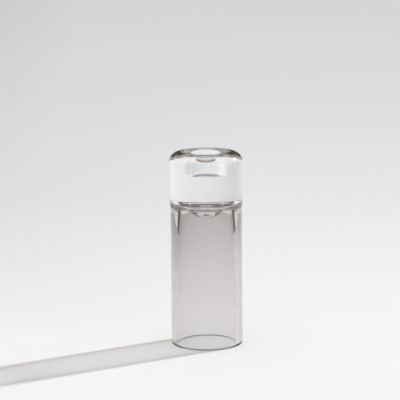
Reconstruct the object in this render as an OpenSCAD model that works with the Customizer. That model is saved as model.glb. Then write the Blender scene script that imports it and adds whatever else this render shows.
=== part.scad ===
// Reversible glass cylinder vase.
// A thick clear glass block, with a taper-candle pocket in its top, is fused
// to the crown of a smoked glass cylinder and closes it; a rounded drop of the
// clear glass hangs into the cavity. The smoked cylinder is open at its other
// end. It stands on its open rim as a candle holder, and turned over
// on the clear block it is a vase. Millimetres, +Z up, origin at the centre
// of the open rim's plane.

/* [Overall] */
// Overall height, from the open rim to the top of the clear block
total_h = 160; // [150:1:190]

/* [Clear glass block] */
// Diameter of the clear block
block_d = 60; // [59:0.5:66]
// Height of the clear block above the crown of the smoked cylinder
block_h = 42.5; // [38:0.5:50]
// Radius of the fire-polished shoulder round the top face
shoulder_r = 6.5; // [3:0.5:10]
// Width of the clear skirt's lower edge, where it wraps the crown of the smoked cylinder
skirt_edge = 0.2; // [0.1:0.05:0.4]
// Height above the crown at which the skirt's taper meets the full diameter
skirt_rise = 4; // [2:0.5:8]
// Depth of the cavity's ceiling inside the block, above the crown of the smoked cylinder
ceiling_rise = 0.7; // [0.3:0.1:1.5]
// Radius of the rounded drop of glass that hangs from the ceiling
drop_r = 15; // [10:0.5:17]
// Depth by which the drop hangs below the ceiling
drop_depth = 11.7; // [6:0.1:13]
// Radius of the fillet between the drop and the ceiling
drop_fillet_r = 2; // [0.5:0.25:2]

/* [Candle pocket] */
// Diameter of the pocket, a clearance fit for a 22 mm taper candle
pocket_d = 23; // [21:0.5:26]
// Depth of the pocket
pocket_depth = 18; // [14:0.5:24]
// Radius of the polished lip at the pocket's mouth
pocket_lip_r = 1.5; // [0.5:0.25:2.5]
// Radius in the corner between the pocket's wall and its floor
pocket_floor_r = 1.5; // [0.5:0.25:3]

/* [Smoked glass cylinder] */
// Outside diameter of the smoked cylinder
tube_d = 58.6; // [57:0.2:58.8]
// Radius of the crown's outer corner, buried in the clear skirt
crown_r = 6; // [3:0.5:6]
// Inside diameter of the straight lower part of the cavity
cavity_d = 48.4; // [46:0.2:50]
// Inside diameter at the top of the wall, where the ceiling's fillet begins
cavity_top_d = 41.6; // [40:0.2:46]
// Radius of the fillet between the wall and the ceiling
cavity_fillet_r = 3.5; // [2:0.25:4]
// Height of the straight lower part of the cavity
straight_h = 58; // [40:1:70]
// Radius of the polished edges of the open rim
rim_r = 1.4; // [0.6:0.1:1.8]

/* [Hidden] */
$fn = 128;
eps = 0.5;                                  // length by which a cutter passes the face it opens
block_r = block_d / 2;
tube_r = tube_d / 2;
pocket_r = pocket_d / 2;
crown_z = total_h - block_h;                // top of the smoked cylinder
skirt_z = crown_z - crown_r;                // lower edge of the clear skirt
pocket_z = total_h - pocket_depth;          // floor of the pocket
ceiling_z = crown_z + ceiling_rise;         // ceiling of the cavity
drop_z = ceiling_z - drop_depth + drop_r;   // centre of the drop's curve
drop_fillet_x = sqrt(pow(drop_r + drop_fillet_r, 2) - pow(drop_z - ceiling_z + drop_fillet_r, 2));
cav_r = cavity_d / 2;
cav_top_r = cavity_top_d / 2;
fillet_z = ceiling_z - cavity_fillet_r;     // height at which the ceiling's fillet meets the wall
taper_n = 12;                               // cone bands that make up the curved taper

// Radius of the cavity's wall at height z: straight below, then a smooth taper up to the fillet
function cavity_r(z) =
    z <= straight_h ? cav_r :
    let (t = (z - straight_h) / (fillet_z - straight_h))
    cav_r - (cav_r - cav_top_r) * (1 - cos(90 * t));

// A rectangle from the axis to radius r, from z0 to z1, with its upper outer corner rounded
module round_topped(r, z0, z1, corner) {
    translate([0, z0]) square([r - corner, z1 - z0]);
    translate([0, z0]) square([r, z1 - z0 - corner]);
    translate([r - corner, z1 - corner]) circle(corner);
}

// The corner left between a rounded edge of radius r and the square corner at [x, z].
// sx and sz give the side on which the solid lies.
module corner_cut(x, z, r, sx, sz) {
    difference() {
        translate([min(x, x + sx * r), min(z, z + sz * r)]) square(r);
        translate([x + sx * r, z + sz * r]) circle(r);
    }
}

// Half outline of the smoked cylinder's outside
module crown_outline() {
    difference() {
        round_topped(tube_r, 0, crown_z, crown_r);
        corner_cut(tube_r, 0, rim_r, -1, 1);
    }
}

// Half outline of the cavity without the drop, open below the rim
module cavity_outline() {
    polygon(concat(
        [[0, -eps], [cav_r, -eps], [cav_r, straight_h]],
        [for (i = [1:taper_n]) let (z = straight_h + (fillet_z - straight_h) * i / taper_n) [cavity_r(z), z]],
        [[0, fillet_z]]));
    translate([0, fillet_z - 0.001]) square([cav_top_r - cavity_fillet_r, cavity_fillet_r + 0.001]);
    intersection() {
        translate([cav_top_r - cavity_fillet_r, fillet_z]) circle(cavity_fillet_r);
        translate([0, fillet_z - 0.001]) square([cav_top_r, cavity_fillet_r + 1]);
    }
    corner_cut(cav_r, 0, rim_r, 1, 1);
}

// Half outline of the candle pocket, open above the top face
module pocket_outline() {
    translate([0, pocket_z]) square([pocket_r - pocket_floor_r, pocket_depth + eps]);
    translate([0, pocket_z + pocket_floor_r]) square([pocket_r, pocket_depth - pocket_floor_r + eps]);
    translate([pocket_r - pocket_floor_r, pocket_z + pocket_floor_r]) circle(pocket_floor_r);
    corner_cut(pocket_r, total_h, pocket_lip_r, 1, -1);
}

// Half outline of the rounded drop, with the fillet that blends it into the ceiling
module drop_outline() {
    intersection() {
        translate([0, drop_z]) circle(drop_r);
        translate([0, drop_z - drop_r - 1]) square([drop_r + 1, drop_r + 1]);
    }
    difference() {
        polygon([[0, drop_z], [drop_fillet_x, ceiling_z - drop_fillet_r], [drop_fillet_x, drop_z]]);
        translate([drop_fillet_x, ceiling_z - drop_fillet_r]) circle(drop_fillet_r);
    }
}

// Solid clear block: rounded shoulder, candle pocket, an underside that cups the
// smoked crown, the cavity's ceiling and its drop
module clear_glass_block() {
    color([0.93, 0.95, 0.95, 0.45])
    rotate_extrude()
    union() {
        difference() {
            union() {
                polygon([
                    [0, skirt_z], [tube_r + skirt_edge, skirt_z],
                    [block_r, crown_z + skirt_rise], [0, crown_z + skirt_rise]]);
                round_topped(block_r, crown_z + skirt_rise, total_h, shoulder_r);
            }
            crown_outline();
            cavity_outline();
            pocket_outline();
        }
        drop_outline();
    }
}

// Smoked cylinder: rounded open crown, tapering cavity, open polished rim
module smoked_glass_cylinder() {
    color([0.52, 0.48, 0.46, 0.55])
    rotate_extrude()
    difference() {
        crown_outline();
        cavity_outline();
    }
}

clear_glass_block();
smoked_glass_cylinder();
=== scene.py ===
import math

import bmesh
import bpy
from mathutils import Matrix, Vector


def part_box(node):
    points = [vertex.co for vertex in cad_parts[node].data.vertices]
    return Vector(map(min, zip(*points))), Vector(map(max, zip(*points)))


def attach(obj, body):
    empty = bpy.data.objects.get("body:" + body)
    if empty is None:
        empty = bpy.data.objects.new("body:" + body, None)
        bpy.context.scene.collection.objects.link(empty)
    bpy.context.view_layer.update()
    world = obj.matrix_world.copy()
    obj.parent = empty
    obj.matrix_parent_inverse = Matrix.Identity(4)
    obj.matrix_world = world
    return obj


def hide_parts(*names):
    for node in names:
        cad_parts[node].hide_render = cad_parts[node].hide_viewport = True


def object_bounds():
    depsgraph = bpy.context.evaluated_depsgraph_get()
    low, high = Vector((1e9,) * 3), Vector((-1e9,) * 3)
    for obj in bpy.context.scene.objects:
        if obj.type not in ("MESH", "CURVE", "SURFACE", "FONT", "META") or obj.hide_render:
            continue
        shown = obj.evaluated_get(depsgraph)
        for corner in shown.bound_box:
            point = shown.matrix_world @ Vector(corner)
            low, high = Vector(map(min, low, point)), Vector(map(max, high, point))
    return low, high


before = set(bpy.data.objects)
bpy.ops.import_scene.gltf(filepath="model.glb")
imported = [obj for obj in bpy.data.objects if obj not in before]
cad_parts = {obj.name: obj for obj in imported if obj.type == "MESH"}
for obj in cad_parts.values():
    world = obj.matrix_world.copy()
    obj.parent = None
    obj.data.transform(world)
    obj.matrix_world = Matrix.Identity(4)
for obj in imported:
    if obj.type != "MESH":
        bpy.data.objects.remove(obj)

CAD_LO, CAD_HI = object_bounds()
block_lo, block_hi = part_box("clear_glass_block")
tube_lo, tube_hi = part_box("smoked_glass_cylinder")

scene = bpy.context.scene
scene.view_settings.view_transform = "Standard"
scene.view_settings.look = "None"
scene.cycles.max_bounces = 32
scene.cycles.transmission_bounces = 28
scene.cycles.glossy_bounces = 20
scene.cycles.diffuse_bounces = 4
scene.cycles.transparent_max_bounces = 48
scene.cycles.use_denoising = True

MM = 0.001
SEG = 256

# ---------------------------------------------------------------- outlines
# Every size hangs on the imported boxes; lengths in metres, (radius, height).
R = block_hi.x                      # clear block
RT = tube_hi.x                      # smoked cylinder
TOP = block_hi.z
CROWN = tube_hi.z                   # top of the smoked cylinder
DROP = block_lo.z                   # lowest point of the clear drop
CROWN_R = 6.0 * MM
SHOULDER = 6.5 * MM
POCKET_R = 11.5 * MM
POCKET_Z = TOP - 18.0 * MM
LIP = 1.5 * MM
FLOOR_R = 1.5 * MM
CEILING = CROWN + 0.7 * MM
DROP_R = 15.0 * MM
DROP_FILLET = 2.0 * MM
CAV_R = 24.2 * MM
CAV_TOP = 20.8 * MM
CAV_FILLET = 3.5 * MM
STRAIGHT = 58.0 * MM
RIM = 1.4 * MM
SKIRT = CROWN - CROWN_R
BLEND_TOP = CROWN + 4.0 * MM        # the outer wall reaches the block's full width here
GAP = 0.02 * MM


def arc(cr, cz, r, a0, a1, n):
    """Points on an arc, from angle a0 to a1 in degrees, both ends included."""
    out = []
    for i in range(n + 1):
        a = math.radians(a0 + (a1 - a0) * i / n)
        out.append((cr + r * math.cos(a), cz + r * math.sin(a)))
    return out


def line(a, b, n):
    """Points from a to b, without a."""
    return [(a[0] + (b[0] - a[0]) * i / n, a[1] + (b[1] - a[1]) * i / n) for i in range(1, n + 1)]


def cavity_wall(z):
    fz = CEILING - CAV_FILLET
    if z <= STRAIGHT:
        return CAV_R
    t = min((z - STRAIGHT) / (fz - STRAIGHT), 1.0)
    return CAV_R - (CAV_R - CAV_TOP) * (1 - math.cos(math.radians(90 * t)))


def outer_wall(z):
    if z <= SKIRT:
        return RT
    t = min((z - SKIRT) / (BLEND_TOP - SKIRT), 1.0)
    return RT + (R - RT) * (3 * t * t - 2 * t ** 3)


def ceiling_outline():
    """The drop and the ceiling, from the axis out to the start of the cavity's fillet."""
    cz = DROP + DROP_R
    fr = DROP_FILLET
    fx = math.sqrt((DROP_R + fr) ** 2 - (cz - CEILING + fr) ** 2)
    # angle at which the drop meets its fillet, measured at the drop's centre
    a = math.degrees(math.atan2(CEILING - fr - cz, fx))
    out = [(DROP_R * math.cos(math.radians(t)), cz + DROP_R * math.sin(math.radians(t)))
           for t in [-90 + (a + 90) * i / 40 for i in range(41)]]
    out[0] = (0.0, out[0][1])
    out += arc(fx, CEILING - fr, fr, 180 + a, 90, 12)[1:]
    out += line(out[-1], (CAV_TOP - CAV_FILLET, CEILING), 4)
    return out


# height at which the smoked glass ends on the cavity's fillet
END_A = math.degrees(math.asin((CROWN - (CEILING - CAV_FILLET)) / CAV_FILLET))
END_R = CAV_TOP - CAV_FILLET + CAV_FILLET * math.cos(math.radians(END_A))


def crown(dz):
    """The fused face, from the cavity's edge over the crown to the outside."""
    out = line((END_R, CROWN + dz), (RT - CROWN_R, CROWN + dz), 4)
    out += arc(RT - CROWN_R, CROWN - CROWN_R + dz, CROWN_R, 90, 0, 28)[1:]
    return out


def clean(pts, marks):
    q, m = [pts[0]], [marks[0]]
    for p, k in zip(pts[1:], marks[1:]):
        if math.hypot(p[0] - q[-1][0], p[1] - q[-1][1]) > 2e-7:
            q.append(p)
            m.append(k)
    return q, m


def lathe(name, pts, marks, closed, sharp):
    """A surface of revolution. marks[i] says what the band that ends at point i is: 1 for the fused face."""
    pts, marks = clean(pts, marks)
    bm = bmesh.new()
    rings = []
    for r, z in pts:
        if r < 1e-7:
            rings.append([bm.verts.new((0.0, 0.0, z))])
        else:
            rings.append([bm.verts.new((r * math.cos(2 * math.pi * k / SEG), r * math.sin(2 * math.pi * k / SEG), z))
                          for k in range(SEG)])
    bands = [(i, i + 1) for i in range(len(rings) - 1)]
    if closed:
        bands.append((len(rings) - 1, 0))
    for i, j in bands:
        a, b = rings[i], rings[j]
        for k in range(SEG):
            n = (k + 1) % SEG
            if len(a) == 1 and len(b) == 1:
                continue
            if len(a) == 1:
                f = bm.faces.new((a[0], b[k], b[n]))
            elif len(b) == 1:
                f = bm.faces.new((a[k], a[n], b[0]))
            else:
                f = bm.faces.new((a[k], a[n], b[n], b[k]))
            f.smooth = True
            f.material_index = marks[j]
    bmesh.ops.recalc_face_normals(bm, faces=bm.faces)
    for e in bm.edges:
        if len(e.link_faces) == 2 and e.link_faces[0].material_index != e.link_faces[1].material_index:
            e.smooth = False
    mesh = bpy.data.meshes.new(name)
    bm.to_mesh(mesh)
    bm.free()
    obj = bpy.data.objects.new(name, mesh)
    scene.collection.objects.link(obj)
    return obj


def block_outline():
    pts = ceiling_outline()
    pts += arc(CAV_TOP - CAV_FILLET, CEILING - CAV_FILLET, CAV_FILLET, 90, END_A, 8)[1:]
    marks = [0] * len(pts)
    pts[-1] = (END_R, CROWN + GAP)
    fused = crown(GAP)
    pts += fused
    marks += [1] * len(fused)
    wall = [(outer_wall(z), z) for z in [SKIRT + GAP + (BLEND_TOP - SKIRT) * i / 24 for i in range(1, 25)]]
    wall += line(wall[-1], (R, TOP - SHOULDER), 10)
    wall += arc(R - SHOULDER, TOP - SHOULDER, SHOULDER, 0, 90, 32)[1:]
    wall += line(wall[-1], (POCKET_R + LIP, TOP), 5)
    wall += arc(POCKET_R + LIP, TOP - LIP, LIP, 90, 180, 16)[1:]
    wall += line(wall[-1], (POCKET_R, POCKET_Z + FLOOR_R), 8)
    wall += arc(POCKET_R - FLOOR_R, POCKET_Z + FLOOR_R, FLOOR_R, 0, -90, 14)[1:]
    wall += line(wall[-1], (0.0, POCKET_Z), 8)
    pts += wall
    marks += [0] * len(wall)
    return pts, marks


def tube_outline():
    fz = CEILING - CAV_FILLET
    pts = [(END_R, CROWN)]
    pts += arc(CAV_TOP - CAV_FILLET, fz, CAV_FILLET, END_A, 0, 10)[1:]
    pts += [(cavity_wall(z), z) for z in [fz - (fz - STRAIGHT) * i / 40 for i in range(1, 41)]]
    pts += line(pts[-1], (CAV_R, RIM), 12)
    pts += arc(CAV_R + RIM, RIM, RIM, 180, 270, 12)[1:]
    pts += line(pts[-1], (RT - RIM, 0.0), 3)
    pts += arc(RT - RIM, RIM, RIM, 270, 360, 12)[1:]
    pts += line(pts[-1], (RT, SKIRT), 20)
    marks = [0] * len(pts)
    fused = crown(0.0)[::-1][1:] + [(END_R, CROWN)]
    pts += fused[:-1]
    marks += [1] * len(fused[:-1])
    marks[0] = 1
    return pts, marks


block = lathe("clear_glass_block_body", *block_outline(), False, None)
tube = lathe("smoked_glass_cylinder_body", *tube_outline(), True, None)

# The smoked body keeps one material on every face, so its fused face is told apart by an attribute.
mask = tube.data.attributes.new("fused_face", "FLOAT", "FACE")
for i, p in enumerate(tube.data.polygons):
    mask.data[i].value = float(p.material_index)
    p.material_index = 0


# ---------------------------------------------------------------- materials
def new_material(name):
    m = bpy.data.materials.new(name)
    m.use_nodes = True
    m.node_tree.nodes.clear()
    return m, m.node_tree


def node(nt, kind, **props):
    n = nt.nodes.new(kind)
    for k, v in props.items():
        setattr(n, k, v)
    return n


def glass_shader(nt, tint, waves):
    """Clear, fire-polished glass whose surface waves a little, as hand-worked glass does."""
    g = node(nt, "ShaderNodeBsdfPrincipled")
    g.inputs["Base Color"].default_value = (*tint, 1)
    g.inputs["Roughness"].default_value = 0.0
    g.inputs["IOR"].default_value = 1.5
    g.inputs["Transmission Weight"].default_value = 1.0
    if waves > 0:
        tc = node(nt, "ShaderNodeTexCoord")
        mp = node(nt, "ShaderNodeMapping")
        mp.inputs["Scale"].default_value = (1.0, 1.0, 0.35)
        nz = node(nt, "ShaderNodeTexNoise")
        nz.inputs["Scale"].default_value = 55.0
        nz.inputs["Detail"].default_value = 1.0
        bp = node(nt, "ShaderNodeBump")
        bp.inputs["Strength"].default_value = 1.0
        bp.inputs["Distance"].default_value = waves
        nt.links.new(tc.outputs["Object"], mp.inputs["Vector"])
        nt.links.new(mp.outputs["Vector"], nz.inputs["Vector"])
        nt.links.new(nz.outputs["Fac"], bp.inputs["Height"])
        nt.links.new(bp.outputs["Normal"], g.inputs["Normal"])
    return g.outputs[0]


def let_light_through(nt, shader, tint):
    """Lamps and the floor's own light reach what stands behind the glass."""
    lp = node(nt, "ShaderNodeLightPath")
    for ray in ("Is Shadow Ray", "Is Diffuse Ray"):
        clear = node(nt, "ShaderNodeBsdfTransparent")
        clear.inputs["Color"].default_value = (*tint, 1)
        mix = node(nt, "ShaderNodeMixShader")
        nt.links.new(lp.outputs[ray], mix.inputs[0])
        nt.links.new(shader, mix.inputs[1])
        nt.links.new(clear.outputs[0], mix.inputs[2])
        shader = mix.outputs[0]
    return shader


clear_mat, nt = new_material("clear_glass")
shader = let_light_through(nt, glass_shader(nt, (0.97, 0.972, 0.98), 0.000004), (0.945, 0.945, 0.945))
out = node(nt, "ShaderNodeOutputMaterial")
nt.links.new(shader, out.inputs["Surface"])

fused_mat, nt = new_material("fused_face")
clear = node(nt, "ShaderNodeBsdfTransparent")
out = node(nt, "ShaderNodeOutputMaterial")
nt.links.new(clear.outputs[0], out.inputs["Surface"])

smoke_mat, nt = new_material("smoked_glass")
shader = glass_shader(nt, (0.96, 0.95, 0.945), 0.000004)
# The smoked glass's tint grows darker with height, darkest about 0.62 of the way up to the crown and a little
# lighter again at the crown.
tc = node(nt, "ShaderNodeTexCoord")
sep = node(nt, "ShaderNodeSeparateXYZ")
up = node(nt, "ShaderNodeMapRange")
up.inputs["From Max"].default_value = CROWN
deep = node(nt, "ShaderNodeValToRGB")
stops = [(0.0, (0.98, 0.99, 0.992)), (0.2, (0.98, 0.985, 0.987)), (0.36, (0.96, 0.958, 0.958)), (0.62, (0.93, 0.924, 0.924)), (1.0, (0.955, 0.947, 0.947))]
while len(deep.color_ramp.elements) < len(stops):
    deep.color_ramp.elements.new(0.5)
for k, (at, c) in zip(deep.color_ramp.elements, stops):
    k.position = at
    k.color = (*c, 1)
nt.links.new(tc.outputs["Object"], sep.inputs[0])
nt.links.new(sep.outputs["Z"], up.inputs["Value"])
nt.links.new(up.outputs[0], deep.inputs[0])
nt.links.new(deep.outputs["Color"], shader.node.inputs["Base Color"])
at = node(nt, "ShaderNodeAttribute", attribute_name="fused_face", attribute_type="GEOMETRY")
clear = node(nt, "ShaderNodeBsdfTransparent")
mix = node(nt, "ShaderNodeMixShader")
nt.links.new(at.outputs["Fac"], mix.inputs[0])
nt.links.new(shader, mix.inputs[1])
nt.links.new(clear.outputs[0], mix.inputs[2])
shader = let_light_through(nt, mix.outputs[0], (0.965, 0.972, 0.98))
vol = node(nt, "ShaderNodeVolumeAbsorption")
vol.inputs["Color"].default_value = (0.72, 0.68, 0.662, 1)
vol.inputs["Density"].default_value = 80.0
out = node(nt, "ShaderNodeOutputMaterial")
nt.links.new(shader, out.inputs["Surface"])
nt.links.new(vol.outputs[0], out.inputs["Volume"])

block.data.materials.append(clear_mat)
block.data.materials.append(fused_mat)
tube.data.materials.append(smoke_mat)

for obj, cad, slot in ((block, "clear_glass_block", "clear_glass"), (tube, "smoked_glass_cylinder", "smoked_glass")):
    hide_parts(cad)
    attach(obj, "root")

# ---------------------------------------------------------------- stage
TABLE_HALF = 4.0

floor_mat, nt = new_material("pale_floor")
tc = node(nt, "ShaderNodeTexCoord")
sep = node(nt, "ShaderNodeSeparateXYZ")
nt.links.new(tc.outputs["Object"], sep.inputs[0])


def span(value, a, b):
    m = node(nt, "ShaderNodeMapRange")
    m.inputs["From Min"].default_value = a
    m.inputs["From Max"].default_value = b
    nt.links.new(value, m.inputs["Value"])
    return m.outputs[0]


# Grey ramps that paint shade into the floor's colour.
def painted_shade_ramp(value, stops, cool=0.0):
    c = node(nt, "ShaderNodeValToRGB")
    e = c.color_ramp.elements
    while len(e) < len(stops):
        e.new(0.5)
    for k, (at, v) in zip(e, stops):
        k.position = at
        k.color = (v, v, v * (1 + cool * min(at / 0.1, 1)), 1)
    nt.links.new(value, c.inputs[0])
    return c.outputs["Color"]


# Painted shade: the floor's colour darkens away from the vase, a little sooner on the left, standing in for how the
# studio light falls off across the table.
away = span(sep.outputs["Y"], 0.0, 2.5)
left_painted_falloff = painted_shade_ramp(away, [(0.0, 0.85), (0.03, 0.81), (0.13, 0.745), (0.26, 0.69), (0.55, 0.655), (0.71, 0.645), (1.0, 0.62)], 0.018)
right_painted_falloff = painted_shade_ramp(away, [(0.0, 0.86), (0.03, 0.855), (0.13, 0.815), (0.26, 0.745), (0.55, 0.665), (0.71, 0.65), (1.0, 0.62)], 0.018)
painted_falloff = node(nt, "ShaderNodeMix", data_type="RGBA")
nt.links.new(span(sep.outputs["X"], -0.22, 0.05), painted_falloff.inputs["Factor"])
nt.links.new(left_painted_falloff, painted_falloff.inputs["A"])
nt.links.new(right_painted_falloff, painted_falloff.inputs["B"])
# Painted shade: the floor is also darkened further out on the left, from 0.87 at x = -0.45 m to 1.0 at x = -0.2 m.
floor_painted_shade = node(nt, "ShaderNodeMix", data_type="RGBA", blend_type="MULTIPLY")
floor_painted_shade.inputs["Factor"].default_value = 1.0
nt.links.new(painted_falloff.outputs["Result"], floor_painted_shade.inputs["A"])
nt.links.new(painted_shade_ramp(span(sep.outputs["X"], -0.45, -0.2), [(0.0, 0.87), (1.0, 1.0)]), floor_painted_shade.inputs["B"])
fb = node(nt, "ShaderNodeBsdfPrincipled")
fb.inputs["Roughness"].default_value = 0.9
fb.inputs["Specular IOR Level"].default_value = 0.1
nt.links.new(floor_painted_shade.outputs["Result"], fb.inputs["Base Color"])
out = node(nt, "ShaderNodeOutputMaterial")
nt.links.new(fb.outputs[0], out.inputs["Surface"])

def plane(name, points, material):
    m = bpy.data.meshes.new(name)
    b = bmesh.new()
    b.faces.new([b.verts.new(v) for v in points])
    b.to_mesh(m)
    b.free()
    o = bpy.data.objects.new(name, m)
    scene.collection.objects.link(o)
    m.materials.append(material)
    return o


H = TABLE_HALF
floor = plane("floor", [(-H, -H, 0), (H, -H, 0), (H, H, 0), (-H, H, 0)], floor_mat)

world = bpy.data.worlds.new("studio")
scene.world = world
world.use_nodes = True
nt = world.node_tree
bg = nt.nodes["Background"]
tc = node(nt, "ShaderNodeTexCoord")
sep = node(nt, "ShaderNodeSeparateXYZ")
nt.links.new(tc.outputs["Generated"], sep.inputs[0])


def ramp(value, a, b, lo, hi):
    m = node(nt, "ShaderNodeMapRange", interpolation_type="SMOOTHSTEP")
    for k, v in (("From Min", a), ("From Max", b), ("To Min", lo), ("To Max", hi)):
        m.inputs[k].default_value = v
    nt.links.new(value, m.inputs["Value"])
    return m.outputs[0]


def maths(op, a, b=None):
    m = node(nt, "ShaderNodeMath", operation=op)
    for i, v in enumerate((a, b)):
        if isinstance(v, (int, float)):
            m.inputs[i].default_value = v
        elif v is not None:
            nt.links.new(v, m.inputs[i])
    return m.outputs[0]


azimuth = maths("MULTIPLY", maths("ARCTAN2", sep.outputs["X"], sep.outputs["Y"]), 57.29578)   # 0 behind, 90 at the right
height = maths("MULTIPLY", maths("ARCSINE", sep.outputs["Z"]), 57.29578)

# Soft-edged light cards round the table: from azimuth, to azimuth, from height, to height (degrees), soft edge, strength
ROOM = 0.14
CARDS = [
    (-48, 48, -20, 5, 2.5, 0.95),      # the sweep behind the table
    (-24, 24, 12, 17, 1, 0.30),        # strip light behind
    (-62, -38, 8, 15, 2, 0.85),        # side cards
    (38, 62, 8, 15, 2, 0.85),
    (-181, -74, -20, 12, 4, 0.62),     # pale walls at the sides and in front
    (74, 181, -20, 12, 4, 0.62),
    (-181, 181, 43, 91, 2, 0.30),      # ceiling, and the overhead light in it
    (-181, 181, 52, 91, 4, 0.60),
]


def card(a0, a1, h0, h1, soft, value):
    out = None
    for v, lo, hi in ((azimuth, a0, a1), (height, h0, h1)):
        for edge, rising in ((lo, True), (hi, False)):
            r = ramp(v, edge - soft, edge + soft, 0.0 if rising else 1.0, 1.0 if rising else 0.0)
            out = r if out is None else maths("MULTIPLY", out, r)
    return maths("MULTIPLY", out, value)


light = None
for c in CARDS:
    light = card(*c) if light is None else maths("MAXIMUM", light, card(*c))
light = maths("ADD", light, ROOM)
nt.links.new(light, bg.inputs["Strength"])
warm = node(nt, "ShaderNodeMix", data_type="RGBA")
warm.inputs["A"].default_value = (0.99, 0.99, 1.0, 1)
warm.inputs["B"].default_value = (1.0, 0.92, 0.84, 1)
dim = node(nt, "ShaderNodeMapRange")
for k, v in (("From Min", ROOM), ("From Max", 0.4), ("To Min", 1.0), ("To Max", 0.0)):
    dim.inputs[k].default_value = v
nt.links.new(light, dim.inputs["Value"])
nt.links.new(maths("MAXIMUM", dim.outputs[0], card(-34, 34, 7, 44, 2, 1.0)), warm.inputs["Factor"])
nt.links.new(warm.outputs["Result"], bg.inputs["Color"])

lamp = bpy.data.lights.new("sun", "SUN")
lamp.energy = 4.2
lamp.angle = math.radians(2)
sun = bpy.data.objects.new("sun", lamp)
scene.collection.objects.link(sun)
az, el = math.radians(33), math.radians(29)
sun.rotation_euler = Vector((math.cos(el) * math.cos(az), math.cos(el) * math.sin(az), math.sin(el))).to_track_quat("Z", "Y").to_euler()

# ---------------------------------------------------------------- camera
cam = bpy.data.cameras.new("camera")
eye = bpy.data.objects.new("camera", cam)
scene.collection.objects.link(eye)
scene.camera = eye
target = Vector((0, 0, (CAD_LO.z + CAD_HI.z) / 2))
e = math.radians(11.8)
eye.location = target + 2.1 * Vector((0, -math.cos(e), math.sin(e)))
look = (target - eye.location).to_track_quat("-Z", "Y").to_matrix()
FOCAL = 2550.0                       # focal length over the width of one part in 400 of the frame
look = look @ Matrix.Rotation(math.radians(-0.48), 3, "Z")
look = look @ Matrix.Rotation(math.atan(6.5 / FOCAL), 3, "Y") @ Matrix.Rotation(math.atan(48.0 / FOCAL), 3, "X")
eye.rotation_euler = look.to_euler()
cam.sensor_width = 36
cam.lens = 36 * FOCAL / 400
cam.clip_end = 100
